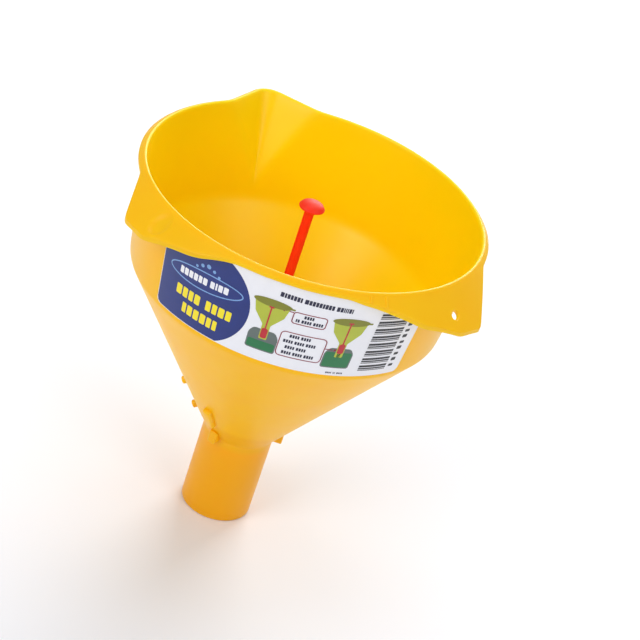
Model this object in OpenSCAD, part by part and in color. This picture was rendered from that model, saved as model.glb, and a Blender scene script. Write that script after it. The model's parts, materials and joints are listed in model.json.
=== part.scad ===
// Automatic shut-off funnel: a moulded bowl and spout with a float valve.
// Millimetres. The origin is the centre of the spout's outlet, +Z is up,
// and the printed label faces -Y. The plunger is modelled at its lower stop.

/* [Bowl] */
// Outer radius of the bowl's wall at the rim
rim_r = 82.5; // [81:0.5:84]
// Height of the rim above the outlet
rim_z = 186; // [184:1:190]
// Outer radius at the crease, where the upper wall meets the cone
crease_r = 76.4; // [75.5:0.1:77.5]
// Height of the crease
crease_z = 135; // [133:1:137]
// Thickness of the bowl's wall
wall = 2.2; // [2:0.1:2.4]

/* [Spout] */
// Outer radius of the spout
spout_r = 17.8; // [17.6:0.1:18.2]
// Height at which the cone meets the spout
neck_z = 47; // [46:0.5:48]
// Radius of the valve's throat
throat_r = 11.5; // [11:0.1:12]

/* [Flange] */
// Width of the rolled bead outside the rim
bead_w = 1.5; // [1:0.1:2]
// Height of the rolled bead
bead_h = 2.7; // [2.4:0.1:3.4]
// Slope of the ears below the horizontal, in degrees
flange_tilt = 42; // [38:1:45]
// Thickness of the ears
flange_t = 1.8; // [1.6:0.1:2.2]
// Radius of the hanging hole
hang_r = 2.1; // [1.8:0.1:2.5]

/* [Pour lip] */
// Direction of the pour lip, in degrees from +X towards +Y
lip_az = 114.5; // [100:0.5:130]
// Reach of the lip from the bowl's axis, at the rim
lip_reach = 96.4; // [92:0.1:98]
// Half the lip's width just inside the rim
lip_half_w = 25.3; // [24:0.1:26]
// Radius of the lip's nose
lip_nose_r = 8.5; // [7:0.5:10]
// Depth at which the groove runs out into the wall
lip_depth = 46; // [42:1:48]

/* [Plunger] */
// Radius of the plunger rod
rod_r = 2; // [1.9:0.05:2.1]
// Radius of the push knob
knob_r = 6.2; // [5.5:0.1:7]
// Height of the knob's crown above the outlet, plunger down
knob_top_z = 180; // [178:0.5:182]
// Radius of the float
float_r = 13; // [12.6:0.1:13.2]
// Height of the float
float_h = 26; // [24:1:27]

/* [Label] */
// First and last directions of the label, in degrees
label_az = [226.2, 320.4]; // [220:0.1:325]
// Heights of the label's lower and upper edges above the crease
label_rise = [2.2, 47.3]; // [2:0.1:47.5]

/* [Hidden] */
$fn = 96;

// Cone and wall
cone_slope = (crease_r - spout_r) / (crease_z - neck_z);
cone_angle = atan(cone_slope);
side_slope = (rim_r - crease_r) / (rim_z - crease_z);
spout_wall = 2;
spout_in_r = spout_r - spout_wall;
cone_gap = wall / cos(cone_angle);
fillet_r = 5;
eps = 0.01;

// Valve seat, and the pocket that holds the guide
seat_z = 43;
seat_rise = 3;
throat_top_z = 45;
pocket_r = 14;
pocket_z = 49;

// Ears: corners of each one's plan outline as X, Y and rounding radius. The first and
// last corners lie inside the rim
ears = [
    [[-78, -24, 0], [-76.8, -57.5, 8], [-66, -68.5, 14], [-40, -78.5, 40], [-24, -79.5, 0]],
    [[24, -78.5, 0], [40, -75.9, 40], [63, -68.4, 25], [80.5, -56.5, 14], [88.8, -45, 4],
     [81.5, -8, 0]]
];
ear_steps = 5;
flange_r = rim_r + bead_w;
flange_drop = 0.6;
flange_reach = 26;
hang_at = [92, 325];
dimple_at = [88.4, 227];
dimple_r = 4.6;
dimple_depth = 0.6;
moulding_ribs = [296, 301];
rib_w = 0.9;
rib_h = 0.6;

// How far inside the rim the pour lip's sides start
lip_tuck = 7;

// Stand-off lugs round the neck, the rib above one of them, and the pegs
lug_count = 3;
lug_w = 4.4;
lug_proud = 4.2;
lug_z = 45.6;
cone_rib_az = 240;
cone_rib_z = [58.5, 70.5];
cone_rib_proud = 2.2;
peg_az = 190;
peg_z = [55.5, 68];
peg_r = 2;
peg_proud = 2.8;

// Guide
hub_r = 4.2;
hub_h = 10;
running_gap = 0.05;
guide_ring_w = 1.8;
arm_w = 2;
arm_count = 3;
arm_first_az = 60;
key_w = 1;
key_proud = 0.7;
key_gap = 0.15;

// Plunger
stop_gap = 0.05;
collar_h = 3;
float_wall = 1.2;
cap_t = 2;
cap_rim_h = 2;
socket_r = 3.8;
socket_depth = 6;
seal_r = 13.8;
seal_t = 2;
retainer_r = 6;
retainer_t = 1.2;
knob_h = 5;
knob_edge = 1.2;
knob_socket = 2.5;
guide_z = throat_top_z;
hub_top_z = guide_z + hub_h;
float_z = 6;
float_top_z = float_z + float_h;
seal_top_z = float_top_z + seal_t;
rod_foot_z = float_top_z - socket_depth + 1;
key_foot_z = seal_top_z + retainer_t + 0.8;
rod_top_z = knob_top_z - knob_h + knob_socket;
label_t = 0.12;
label_gap = 0.02;

function polar(r, a) = [r * cos(a), r * sin(a)];
function unit(v) = v / norm(v);
function cone_r_at(z) = spout_r + (z - neck_z) * cone_slope;
function side_r_at(z) = crease_r + (z - crease_z) * side_slope;
function flange_top_z(r) = rim_z - flange_drop - (r - rim_r) * tan(flange_tilt);

// Arc of n steps about a centre, as points
function arc(centre, r, from, to, n) =
    [for (i = [0:n]) centre + polar(r, from + (to - from) * i / n)];

// Outline of the outside, from the outlet up to the rim
function outside_points() = concat(
    [[0, 0], [spout_r, 0]],
    arc([spout_r + fillet_r, neck_z - fillet_r * tan(cone_angle / 2)],
        fillet_r, 180, 180 - cone_angle, 6),
    [[crease_r, crease_z], [rim_r, rim_z], [0, rim_z]]
);

// Outline of the hollow inside, with the valve seat and the guide's pocket
function inside_points() = [
    [0, -1], [spout_in_r, -1], [spout_in_r, seat_z - seat_rise], [throat_r, seat_z],
    [throat_r, throat_top_z], [pocket_r, throat_top_z], [pocket_r, pocket_z],
    [cone_r_at(pocket_z) - cone_gap, pocket_z], [crease_r - wall, crease_z],
    [side_r_at(rim_z + 1) - wall, rim_z + 1], [0, rim_z + 1]
];

// Rounded corner of an outline, at corner b between a and c
function round_corner(a, b, c) =
    let (
        at = [b.x, b.y], u = unit([a.x, a.y] - at), v = unit([c.x, c.y] - at),
        half = acos(u * v) / 2, centre = at + unit(u + v) * b.z / sin(half),
        first = at + u * b.z / tan(half) - centre, last = at + v * b.z / tan(half) - centre
    )
    [for (i = [0:ear_steps])
        centre + b.z * unit(first * (1 - i / ear_steps) + last * i / ear_steps)];

// Plan outline of the flange: the round rim, with a rounded outline for each ear
module flange_plan() {
    circle(r = flange_r);
    for (ear = ears) polygon(concat(
        [[ear[0].x, ear[0].y]],
        [for (i = [1:len(ear) - 2]) each round_corner(ear[i - 1], ear[i], ear[i + 1])],
        [[ear[len(ear) - 1].x, ear[len(ear) - 1].y], [0, 0]]
    ));
}

// Sloping sheet of the ears, raised by lift
module flange_sheet(lift) {
    thick = flange_t / cos(flange_tilt) + lift;
    inner = rim_r - 1;
    outer = rim_r + flange_reach;
    intersection() {
        rotate_extrude() polygon([
            [inner, flange_top_z(inner) + lift], [inner, flange_top_z(inner) + lift - thick],
            [outer, flange_top_z(outer) + lift - thick], [outer, flange_top_z(outer) + lift]
        ]);
        translate([0, 0, rim_z - 40]) linear_extrude(40) flange_plan();
    }
}

// Places children on the flange's sloping top, with +Z along its outward normal
module on_flange(r, az) {
    rotate([0, 0, az]) translate([r, 0, flange_top_z(r)]) rotate([0, flange_tilt, 0]) children();
}

// Rolled bead round the outside of the rim
module rim_bead() {
    rotate_extrude() polygon([
        [rim_r - 1, rim_z - bead_h], [flange_r, rim_z - bead_h], [flange_r, rim_z - 1],
        [flange_r - 0.4, rim_z - 0.3], [flange_r - 1.1, rim_z], [rim_r - 1, rim_z]
    ]);
}

// Solid of the pour lip, grown outwards by grow: a rounded nose and two corners
// at the rim, drawn down to a point on the wall
module lip_wedge(grow, top_z) {
    foot_z = rim_z - lip_depth - grow;
    rotate([0, 0, lip_az]) hull() {
        translate([lip_reach - wall - lip_nose_r, 0, top_z - eps])
            cylinder(h = eps, r = lip_nose_r + grow, $fn = 48);
        for (side = [-1, 1]) translate([rim_r - lip_tuck, side * lip_half_w, top_z - eps])
            cylinder(h = eps, r = grow + 0.2, $fn = 16);
        translate([side_r_at(foot_z) - wall - 1, 0, foot_z]) cylinder(h = eps, r = 0.2, $fn = 16);
    }
}

// Pour lip's wall, and the bead that follows its edge
module pour_lip_outside() {
    lip_wedge(wall, rim_z);
    intersection() {
        lip_wedge(wall + bead_w, rim_z);
        translate([0, 0, rim_z - bead_h]) cylinder(h = bead_h, r = rim_r + flange_reach);
    }
}

// Gusset lugs that fill the corner between the spout and the cone
module neck_lugs() {
    for (i = [0:lug_count - 1]) rotate([0, 0, 360 * i / lug_count])
        translate([spout_r - 1, -lug_w / 2, lug_z])
            cube([1 + lug_proud, lug_w, lug_proud / cone_slope + neck_z - lug_z]);
}

// Rib that lies up the cone
module cone_rib() {
    long = (cone_rib_z[1] - cone_rib_z[0]) / cos(cone_angle);
    rotate([0, 0, cone_rib_az]) translate([cone_r_at(cone_rib_z[0]), 0, cone_rib_z[0]])
        rotate([0, cone_angle, 0]) translate([-1, -lug_w / 2, 0])
            cube([1 + cone_rib_proud, lug_w, long]);
}

// Short pegs square to the cone
module cone_pegs() {
    for (z = peg_z) rotate([0, 0, peg_az]) translate([cone_r_at(z), 0, z])
        rotate([0, 90 + cone_angle, 0]) translate([0, 0, -1])
            cylinder(h = peg_proud + 1, r = peg_r);
}

module funnel_body() {
    color("gold") difference() {
        union() {
            rotate_extrude() polygon(outside_points());
            rim_bead();
            flange_sheet(0);
            intersection() {
                flange_sheet(rib_h);
                for (a = moulding_ribs) rotate([0, 0, a]) translate([0, -rib_w / 2, rim_z - 30])
                    cube([rim_r + flange_reach, rib_w, 30]);
            }
            pour_lip_outside();
            neck_lugs();
            cone_rib();
            cone_pegs();
        }
        rotate_extrude() polygon(inside_points());
        lip_wedge(0, rim_z + 1);
        on_flange(hang_at[0], hang_at[1]) cylinder(h = 10, r = hang_r, center = true);
        on_flange(dimple_at[0], dimple_at[1]) translate([0, 0, -dimple_depth])
            cylinder(h = 5, r = dimple_r);
    }
}

// Printed film on the upper wall
module label() {
    low = crease_z + label_rise[0];
    high = crease_z + label_rise[1];
    color("white") rotate([0, 0, label_az[0]])
        rotate_extrude(angle = label_az[1] - label_az[0]) polygon([
            [side_r_at(low) + label_gap, low], [side_r_at(low) + label_gap + label_t, low],
            [side_r_at(high) + label_gap + label_t, high], [side_r_at(high) + label_gap, high]
        ]);
}

// Slot for the rod's key, on the -X side of a bore
module key_slot(z, h) {
    reach = rod_r + key_proud + key_gap;
    translate([-reach, -key_w / 2 - key_gap, z - 1]) cube([reach, key_w + 2 * key_gap, h + 2]);
}

// Spider pressed into the pocket above the seat: a ring, three arms and a tall hub
module rod_guide() {
    ring_h = pocket_z - throat_top_z;
    color("orange") difference() {
        union() {
            difference() {
                translate([0, 0, guide_z]) cylinder(h = ring_h, r = pocket_r);
                translate([0, 0, guide_z - 1]) cylinder(h = ring_h + 2, r = pocket_r - guide_ring_w);
            }
            for (i = [0:arm_count - 1]) rotate([0, 0, arm_first_az + 360 * i / arm_count])
                translate([hub_r - 1, -arm_w / 2, guide_z])
                    cube([pocket_r - guide_ring_w / 2 - hub_r + 1, arm_w, ring_h]);
            translate([0, 0, guide_z]) cylinder(h = hub_h, r = hub_r);
        }
        translate([0, 0, guide_z - 1]) cylinder(h = hub_h + 2, r = rod_r + running_gap);
        key_slot(guide_z, hub_h);
    }
}

module plunger_rod() {
    key_len = rod_top_z - key_foot_z;
    color("red") {
        translate([0, 0, rod_foot_z]) cylinder(h = rod_top_z - rod_foot_z, r = rod_r);
        translate([-rod_r - key_proud, -key_w / 2, key_foot_z]) cube([rod_r, key_w, key_len]);
    }
}

// Flattened mushroom knob, with a blind socket for the rod
module push_knob() {
    foot = knob_top_z - knob_h;
    color("red") difference() {
        rotate_extrude() polygon(concat(
            [[0, foot], [rod_r + 1.6, foot], [knob_r, foot + 1.6], [knob_r, foot + 1.6 + knob_edge]],
            [for (i = [1:8]) [knob_r * cos(i * 90 / 8),
                foot + 1.6 + knob_edge + (knob_h - 1.6 - knob_edge) * sin(i * 90 / 8)]]
        ));
        translate([0, 0, foot - 1]) cylinder(h = knob_socket + 1, r = rod_r);
        key_slot(foot, knob_socket - 1);
    }
}

// Collar pressed on the rod, which rests on the guide's hub when the valve is open
module stop_collar() {
    foot = hub_top_z + stop_gap;
    color("red") difference() {
        translate([0, 0, foot]) cylinder(h = collar_h, r = hub_r);
        translate([0, 0, foot - 1]) cylinder(h = collar_h + 2, r = rod_r);
        key_slot(foot, collar_h);
    }
}

// Hollow float, open below, with the socket that takes the rod's foot
module float_shell() {
    shell_z = float_z + cap_t;
    color("red") difference() {
        translate([0, 0, shell_z]) cylinder(h = float_top_z - shell_z, r = float_r);
        difference() {
            translate([0, 0, shell_z - 1])
                cylinder(h = float_top_z - shell_z - float_wall + 1, r = float_r - float_wall);
            translate([0, 0, float_top_z - socket_depth - 1]) cylinder(h = socket_depth + 1, r = socket_r);
        }
        translate([0, 0, rod_foot_z]) cylinder(h = socket_depth + 1, r = rod_r);
    }
}

// Disc welded under the float, which closes it
module float_cap() {
    color("red") {
        translate([0, 0, float_z]) cylinder(h = cap_t, r = float_r);
        difference() {
            translate([0, 0, float_z + cap_t]) cylinder(h = cap_rim_h, r = float_r - float_wall);
            translate([0, 0, float_z + cap_t]) cylinder(h = cap_rim_h + 1, r = float_r - 2 * float_wall);
        }
    }
}

// Rubber disc that closes against the seat
module valve_seal() {
    color("dimgray") translate([0, 0, float_top_z]) difference() {
        cylinder(h = seal_t, r = seal_r);
        translate([0, 0, -1]) cylinder(h = seal_t + 2, r = rod_r);
    }
}

// Washer pressed on the rod, which holds the rubber disc down on the float
module seal_retainer() {
    color("red") translate([0, 0, seal_top_z]) difference() {
        cylinder(h = retainer_t, r = retainer_r);
        translate([0, 0, -1]) cylinder(h = retainer_t + 2, r = rod_r);
    }
}

funnel_body();
label();
rod_guide();
plunger_rod();
push_knob();
stop_collar();
float_shell();
float_cap();
valve_seal();
seal_retainer();
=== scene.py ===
"""Looks of an automatic shut-off funnel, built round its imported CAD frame.

The funnel is one yellow polyethylene moulding with a printed film on its wall. A red plunger
slides on its axis: a push knob, a rod, and in the spout a hollow float with a rubber seal.
Shapes are drawn in millimetres in the row frame and become metres when a mesh is finished.
"""

from __future__ import annotations

import json
import logging
import math
from dataclasses import dataclass, field
from enum import Enum
from functools import cached_property

import bmesh
import bpy
from mathutils import Matrix, Vector

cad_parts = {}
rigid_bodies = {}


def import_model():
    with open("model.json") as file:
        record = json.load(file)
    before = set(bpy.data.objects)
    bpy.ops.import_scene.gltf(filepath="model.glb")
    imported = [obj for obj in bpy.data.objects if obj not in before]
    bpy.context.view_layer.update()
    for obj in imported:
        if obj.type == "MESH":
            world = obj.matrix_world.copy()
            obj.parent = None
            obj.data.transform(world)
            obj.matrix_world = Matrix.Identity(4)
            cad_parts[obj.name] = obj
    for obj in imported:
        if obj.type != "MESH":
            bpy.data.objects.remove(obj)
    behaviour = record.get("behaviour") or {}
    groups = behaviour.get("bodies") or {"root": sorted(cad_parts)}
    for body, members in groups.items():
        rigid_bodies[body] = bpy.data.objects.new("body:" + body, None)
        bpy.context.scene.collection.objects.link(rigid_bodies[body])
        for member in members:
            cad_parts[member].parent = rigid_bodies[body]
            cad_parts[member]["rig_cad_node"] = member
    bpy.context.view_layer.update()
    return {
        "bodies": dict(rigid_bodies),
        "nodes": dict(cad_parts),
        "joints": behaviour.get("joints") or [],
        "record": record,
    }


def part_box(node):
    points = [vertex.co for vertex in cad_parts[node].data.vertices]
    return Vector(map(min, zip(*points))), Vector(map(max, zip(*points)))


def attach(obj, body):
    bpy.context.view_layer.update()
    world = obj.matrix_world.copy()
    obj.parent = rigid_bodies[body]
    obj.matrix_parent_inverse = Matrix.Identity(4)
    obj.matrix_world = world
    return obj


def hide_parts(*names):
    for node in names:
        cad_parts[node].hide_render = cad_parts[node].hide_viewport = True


log = logging.getLogger("funnel")

MM = 0.001
SHARP_ANGLE = math.radians(38)
ROUND_STEPS = 96
Point = tuple[float, float]
Colour = tuple[float, float, float, float]


# Points and curves -------------------------------------------------------------------------


def polar(radius: float, degrees: float, centre: Point = (0.0, 0.0)) -> Point:
    """Returns the point at a radius and a direction from a centre."""
    angle = math.radians(degrees)
    return centre[0] + radius * math.cos(angle), centre[1] + radius * math.sin(angle)


def arc(centre: Point, radius: float, start: float, end: float, steps: int) -> list[Point]:
    """Returns steps + 1 points along an arc.

    Args:
        centre: Centre of the arc.
        radius: Its radius.
        start: First direction in degrees.
        end: Last direction in degrees.
        steps: Number of chords.
    """
    return [polar(radius, start + (end - start) * i / steps, centre) for i in range(steps + 1)]


def run(start: Point, end: Point, spacing: float) -> list[Point]:
    """Returns evenly spaced points from start up to, but without, end.

    Args:
        start: First point.
        end: Where the line ends.
        spacing: Largest distance between two points.
    """
    steps = max(1, math.ceil(math.dist(start, end) / spacing))
    return [tuple(a + (b - a) * i / steps for a, b in zip(start, end)) for i in range(steps)]


def rounded(points: list[Point], radius: float, steps: int = 4) -> list[Point]:
    """Rounds every corner of an open outline except its two ends.

    Args:
        points: Corners of the outline.
        radius: Radius of each fillet, less where a side is too short for it.
        steps: Chords in each fillet.

    Returns:
        The outline with an arc in place of each corner.
    """
    out = [points[0]]
    for before, corner, after in zip(points, points[1:], points[2:]):
        a = Vector(before) - Vector(corner)
        b = Vector(after) - Vector(corner)
        half = a.angle(b) / 2
        back = min(radius / math.tan(half), 0.45 * a.length, 0.45 * b.length)
        first, last = Vector(corner) + a.normalized() * back, Vector(corner) + b.normalized() * back
        for i in range(steps + 1):
            t = i / steps
            mixed = first * (1 - t) ** 2 + Vector(corner) * 2 * t * (1 - t) + last * t**2
            out.append((mixed.x, mixed.y))
    return out + [points[-1]]


def mix(a: float, b: float, share: float) -> float:
    """Returns the value that lies share of the way from a to b."""
    return a + (b - a) * share


def ease(low: float, high: float, value: float) -> float:
    """Returns 0 below low and 1 above high, with a smooth rise between them."""
    t = min(max((value - low) / (high - low), 0.0), 1.0)
    return t * t * (3 - 2 * t)


def soft_max(a: float, b: float, blend: float) -> float:
    """Returns the larger of a and b, with their crossing rounded by blend."""
    return (a + b + math.sqrt((a - b) ** 2 + blend**2)) / 2


# Meshes ------------------------------------------------------------------------------------


def finish_mesh(bm: bmesh.types.BMesh, name: str, outwards: bool = True) -> bpy.types.Object:
    """Turns a bmesh drawn in millimetres into a smooth-shaded piece at the origin.

    Args:
        bm: The mesh, which is freed.
        name: Name of the piece.
        outwards: Whether to point the faces outwards again.

    Returns:
        The new object, linked to the scene.
    """
    bmesh.ops.scale(bm, vec=(MM, MM, MM), verts=bm.verts)
    if outwards:
        bmesh.ops.recalc_face_normals(bm, faces=bm.faces)
    mesh = bpy.data.meshes.new(name)
    bm.to_mesh(mesh)
    bm.free()
    mesh.shade_smooth()
    mesh.set_sharp_from_angle(angle=SHARP_ANGLE)
    piece = bpy.data.objects.new(name, mesh)
    bpy.context.scene.collection.objects.link(piece)
    return piece


def spin_outline(bm: bmesh.types.BMesh, outline: list[Point], steps: int, closed: bool) -> None:
    """Spins an outline of (radius, height) points a full turn about Z.

    Args:
        bm: The mesh that receives the faces.
        outline: Points of the outline.
        steps: Number of facets round the turn.
        closed: Whether the last point joins the first.
    """
    verts = [bm.verts.new((r, 0, z)) for r, z in outline]
    pairs = list(zip(verts, verts[1:])) + ([(verts[-1], verts[0])] if closed else [])
    edges = [bm.edges.new(pair) for pair in pairs]
    bmesh.ops.spin(
        bm, geom=verts + edges, cent=(0, 0, 0), axis=(0, 0, 1), dvec=(0, 0, 0),
        angle=math.tau, steps=steps, use_merge=True,
    )
    bmesh.ops.remove_doubles(bm, verts=bm.verts, dist=1e-4)


def turned(name: str, outline: list[Point], closed: bool = True) -> bpy.types.Object:
    """Spins an outline into a finished piece.

    Args:
        name: Name of the piece.
        outline: Its outline as (radius, height) points.
        closed: Whether the outline closes on itself, as on a ring.

    Returns:
        The turned piece.
    """
    bm = bmesh.new()
    spin_outline(bm, outline, ROUND_STEPS, closed)
    return finish_mesh(bm, name)


def add_bar(bm: bmesh.types.BMesh, size: Vector, place: Matrix, bevel: float) -> None:
    """Adds a block with rounded edges.

    Args:
        bm: The mesh that receives it.
        size: Its three sides.
        place: Where its centre goes, and how it is turned.
        bevel: Radius of its edges.
    """
    made = bmesh.ops.create_cube(bm, size=1)["verts"]
    bmesh.ops.scale(bm, vec=size, verts=made)
    edges = list({e for v in made for e in v.link_edges})
    rounding = bmesh.ops.bevel(
        bm, geom=edges, offset=bevel, segments=3, profile=0.5, affect="EDGES", material=-1,
    )
    whole = {v for v in made if v.is_valid} | set(rounding["verts"])
    bmesh.ops.transform(bm, matrix=place, verts=list(whole))


def combine(piece: bpy.types.Object, tool: bpy.types.Object, operation: str) -> None:
    """Cuts a tool out of a piece, or melts it on, and removes the tool.

    Args:
        piece: The piece that is kept.
        tool: The closed shape that cuts or is added.
        operation: DIFFERENCE or UNION.
    """
    step = piece.modifiers.new("combine", "BOOLEAN")
    step.object = tool
    step.operation = operation
    step.solver = "EXACT"
    graph = bpy.context.evaluated_depsgraph_get()
    mesh = bpy.data.meshes.new_from_object(piece.evaluated_get(graph))
    piece.modifiers.clear()
    old = piece.data
    piece.data = mesh
    mesh.name = old.name
    bpy.data.meshes.remove(old)
    bpy.data.objects.remove(tool)
    mesh.shade_smooth()
    mesh.set_sharp_from_angle(angle=SHARP_ANGLE)


# Materials ---------------------------------------------------------------------------------


def linear(hex_code: str) -> Colour:
    """Returns the linear colour of an sRGB hex code such as #FFC400."""
    shares = [int(hex_code[i : i + 2], 16) / 255 for i in (1, 3, 5)]
    return (*(s / 12.92 if s <= 0.04045 else ((s + 0.055) / 1.055) ** 2.4 for s in shares), 1.0)


def add_node(
    tree: bpy.types.NodeTree, kind: str, inputs: dict | None = None, **settings: object
) -> bpy.types.Node:
    """Adds a node with its settings, values and links.

    Args:
        tree: The node tree.
        kind: Blender's name for the node.
        inputs: Value or linked socket for each named or numbered input.
        settings: Attributes of the node.

    Returns:
        The new node.
    """
    node = tree.nodes.new(kind)
    for key, value in settings.items():
        setattr(node, key, value)
    for key, value in (inputs or {}).items():
        if isinstance(value, bpy.types.NodeSocket):
            tree.links.new(value, node.inputs[key])
        else:
            node.inputs[key].default_value = value
    return node


def per_metre(size_mm: float) -> float:
    """Returns a texture scale whose features are size_mm across, on coordinates in metres."""
    return 1 / (size_mm * MM)


@dataclass(frozen=True)
class MouldedPlastic:
    """Injection-moulded polyolefin: waxy, slightly cloudy, with soft-edged highlights.

    Args:
        name: Name of the material.
        colour: Its sRGB colour.
        cloud: The colour that it drifts towards in faint flow marks.
        roughness: Roughness of the moulded skin.
        scatter: How much light enters the plastic and comes out again.
        scatter_mm: How far that light travels.
        depth_mm: Depth of the skin's waviness.
        sheen: Strength of the surface's reflection.
        flow_mm: Size of the flow marks.
        wave_mm: Size of the skin's waves.
        grain_mm: Size of its fine grain.
    """

    name: str
    colour: str
    cloud: str
    roughness: float = 0.34
    sheen: float = 0.26
    scatter: float = 0.2
    scatter_mm: float = 3.0
    depth_mm: float = 0.05
    flow_mm: float = 26.0
    wave_mm: float = 9.0
    grain_mm: float = 0.9

    def body_colour(self, tree: bpy.types.NodeTree, at: bpy.types.NodeSocket) -> bpy.types.NodeSocket:
        """Makes the colour, drifting faintly along the flow marks.

        Args:
            tree: The material's nodes.
            at: Object coordinates.

        Returns:
            The socket that carries the colour.
        """
        flow = add_node(
            tree, "ShaderNodeTexNoise",
            {"Vector": at, "Scale": per_metre(self.flow_mm), "Detail": 3.0, "Roughness": 0.5},
        )
        share = add_node(
            tree, "ShaderNodeMapRange",
            {"Value": flow.outputs["Fac"], "From Min": 0.35, "From Max": 0.7},
        )
        mixed = add_node(
            tree, "ShaderNodeMix",
            {"Factor": share.outputs["Result"], 6: linear(self.colour), 7: linear(self.cloud)},
            data_type="RGBA",
        )
        return mixed.outputs[2]

    def make(self) -> bpy.types.Material:
        """Makes the plastic's material.

        Returns:
            The finished material.
        """
        material = bpy.data.materials.new(self.name)
        material.use_nodes = True
        tree = material.node_tree
        shader = tree.nodes["Principled BSDF"]
        at = add_node(tree, "ShaderNodeTexCoord").outputs["Object"]
        tree.links.new(self.body_colour(tree, at), shader.inputs["Base Color"])
        # The mould's polish varies a little, so highlights break up at their edges.
        grain = add_node(
            tree, "ShaderNodeTexNoise",
            {"Vector": at, "Scale": per_metre(self.grain_mm), "Detail": 2.0},
        )
        wave = add_node(
            tree, "ShaderNodeTexNoise",
            {"Vector": at, "Scale": per_metre(self.wave_mm), "Detail": 1.0},
        )
        polish = add_node(
            tree, "ShaderNodeMapRange",
            {"Value": wave.outputs["Fac"], "To Min": self.roughness - 0.05,
             "To Max": self.roughness + 0.07},
        )
        tree.links.new(polish.outputs["Result"], shader.inputs["Roughness"])
        rise = add_node(
            tree, "ShaderNodeMath",
            {0: grain.outputs["Fac"], 1: 0.12, 2: wave.outputs["Fac"]},
            operation="MULTIPLY_ADD",
        )
        bump = add_node(
            tree, "ShaderNodeBump",
            {"Height": rise.outputs["Value"], "Distance": self.depth_mm * MM, "Strength": 0.6},
        )
        tree.links.new(bump.outputs["Normal"], shader.inputs["Normal"])
        shader.inputs["IOR"].default_value = 1.5
        shader.inputs["Specular IOR Level"].default_value = self.sheen
        shader.inputs["Subsurface Weight"].default_value = self.scatter
        shader.inputs["Subsurface Radius"].default_value = (1.0, 0.8, 0.15)
        shader.inputs["Subsurface Scale"].default_value = self.scatter_mm * MM
        return material


@dataclass(frozen=True)
class FloatLitPlastic(MouldedPlastic):
    """Yellow polyethylene, with painted light that makes it lighter inside the bowl and orange down the
    spout, and painted shade that deepens the neck.

    Args:
        inside: Colour of the faces turned to the axis, painted light that stands in for light coming
            through the thin wall.
        painted_float_light: Colour of the spout where the red float shows through, painted light that
            stands in for the float seen through the thin wall.
        painted_float_light_mm: Heights at which the painted float colour starts and is full.
        neck: Colour of the neck, painted shade that deepens it because the guide stands behind the thin
            wall.
        painted_neck_shade_mm: Heights at which the neck's painted shade starts and is full.
    """

    # Painted light: the faces turned to the axis are lighter, as if lit through the thin wall.
    inside: str = "#FFD800"
    # Painted light: the spout turns orange where the red float would show through.
    painted_float_light: str = "#FFAC00"
    painted_float_light_mm: Point = (46.0, 41.0)
    # Painted shade: the neck is deeper where the guide stands behind the wall.
    neck: str = "#F8B400"
    painted_neck_shade_mm: Point = (61.0, 55.0)

    def body_colour(self, tree: bpy.types.NodeTree, at: bpy.types.NodeSocket) -> bpy.types.NodeSocket:
        """Returns the moulding's colour, with painted light that makes it lighter inside and orange down
        the spout, and painted shade at the neck.

        Args:
            tree: The material's nodes.
            at: Object coordinates.

        Returns:
            The socket that carries the colour.
        """
        colour = super().body_colour(tree, at)
        # A face is inside when its normal points back at the axis; there painted light makes it lighter,
        # as if lit through the thin wall.
        outwards = add_node(
            tree, "ShaderNodeVectorMath", {0: at, 1: (1.0, 1.0, 0.0)}, operation="MULTIPLY",
        )
        normal = add_node(tree, "ShaderNodeTexCoord").outputs["Normal"]
        facing = add_node(
            tree, "ShaderNodeVectorMath",
            {0: outwards.outputs["Vector"], 1: normal}, operation="DOT_PRODUCT",
        )
        turned_in = add_node(
            tree, "ShaderNodeMapRange",
            {"Value": facing.outputs["Value"], "From Min": -2 * MM, "From Max": -12 * MM},
        )
        lit = add_node(
            tree, "ShaderNodeMix",
            {"Factor": turned_in.outputs["Result"], 6: colour, 7: linear(self.inside)},
            data_type="RGBA",
        )
        colour = lit.outputs[2]
        height = add_node(tree, "ShaderNodeSeparateXYZ", {"Vector": at}).outputs["Z"]
        # Painted shade deepens the neck, then painted light turns the spout orange, each by height.
        for tone, (start, full) in ((self.neck, self.painted_neck_shade_mm), (self.painted_float_light, self.painted_float_light_mm)):
            share = add_node(
                tree, "ShaderNodeMapRange",
                {"Value": height, "From Min": start * MM, "From Max": full * MM},
                interpolation_type="SMOOTHSTEP",
            )
            mixed = add_node(
                tree, "ShaderNodeMix",
                {"Factor": share.outputs["Result"], 6: colour, 7: linear(tone)},
                data_type="RGBA",
            )
            colour = mixed.outputs[2]
        return colour


@dataclass(frozen=True)
class NitrileRubber:
    """Pressed nitrile rubber: near black, matt, with a fine dusty grain.

    Args:
        name: Name of the material.
        grain_mm: Size of the grain, drawn coarse enough to show.
    """

    name: str = "nitrile_rubber_pressed"
    grain_mm: float = 0.5

    def make(self) -> bpy.types.Material:
        """Makes the rubber's material.

        Returns:
            The finished material.
        """
        material = bpy.data.materials.new(self.name)
        material.use_nodes = True
        tree = material.node_tree
        shader = tree.nodes["Principled BSDF"]
        at = add_node(tree, "ShaderNodeTexCoord").outputs["Object"]
        grain = add_node(
            tree, "ShaderNodeTexNoise",
            {"Vector": at, "Scale": per_metre(self.grain_mm), "Detail": 2.0},
        )
        dust = add_node(
            tree, "ShaderNodeMix",
            {"Factor": grain.outputs["Fac"], 6: linear("#151515"), 7: linear("#2C2B2A")},
            data_type="RGBA",
        )
        tree.links.new(dust.outputs[2], shader.inputs["Base Color"])
        bump = add_node(
            tree, "ShaderNodeBump",
            {"Height": grain.outputs["Fac"], "Distance": 0.03 * MM, "Strength": 0.5},
        )
        tree.links.new(bump.outputs["Normal"], shader.inputs["Normal"])
        shader.inputs["Roughness"].default_value = 0.72
        shader.inputs["IOR"].default_value = 1.52
        return material


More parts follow.
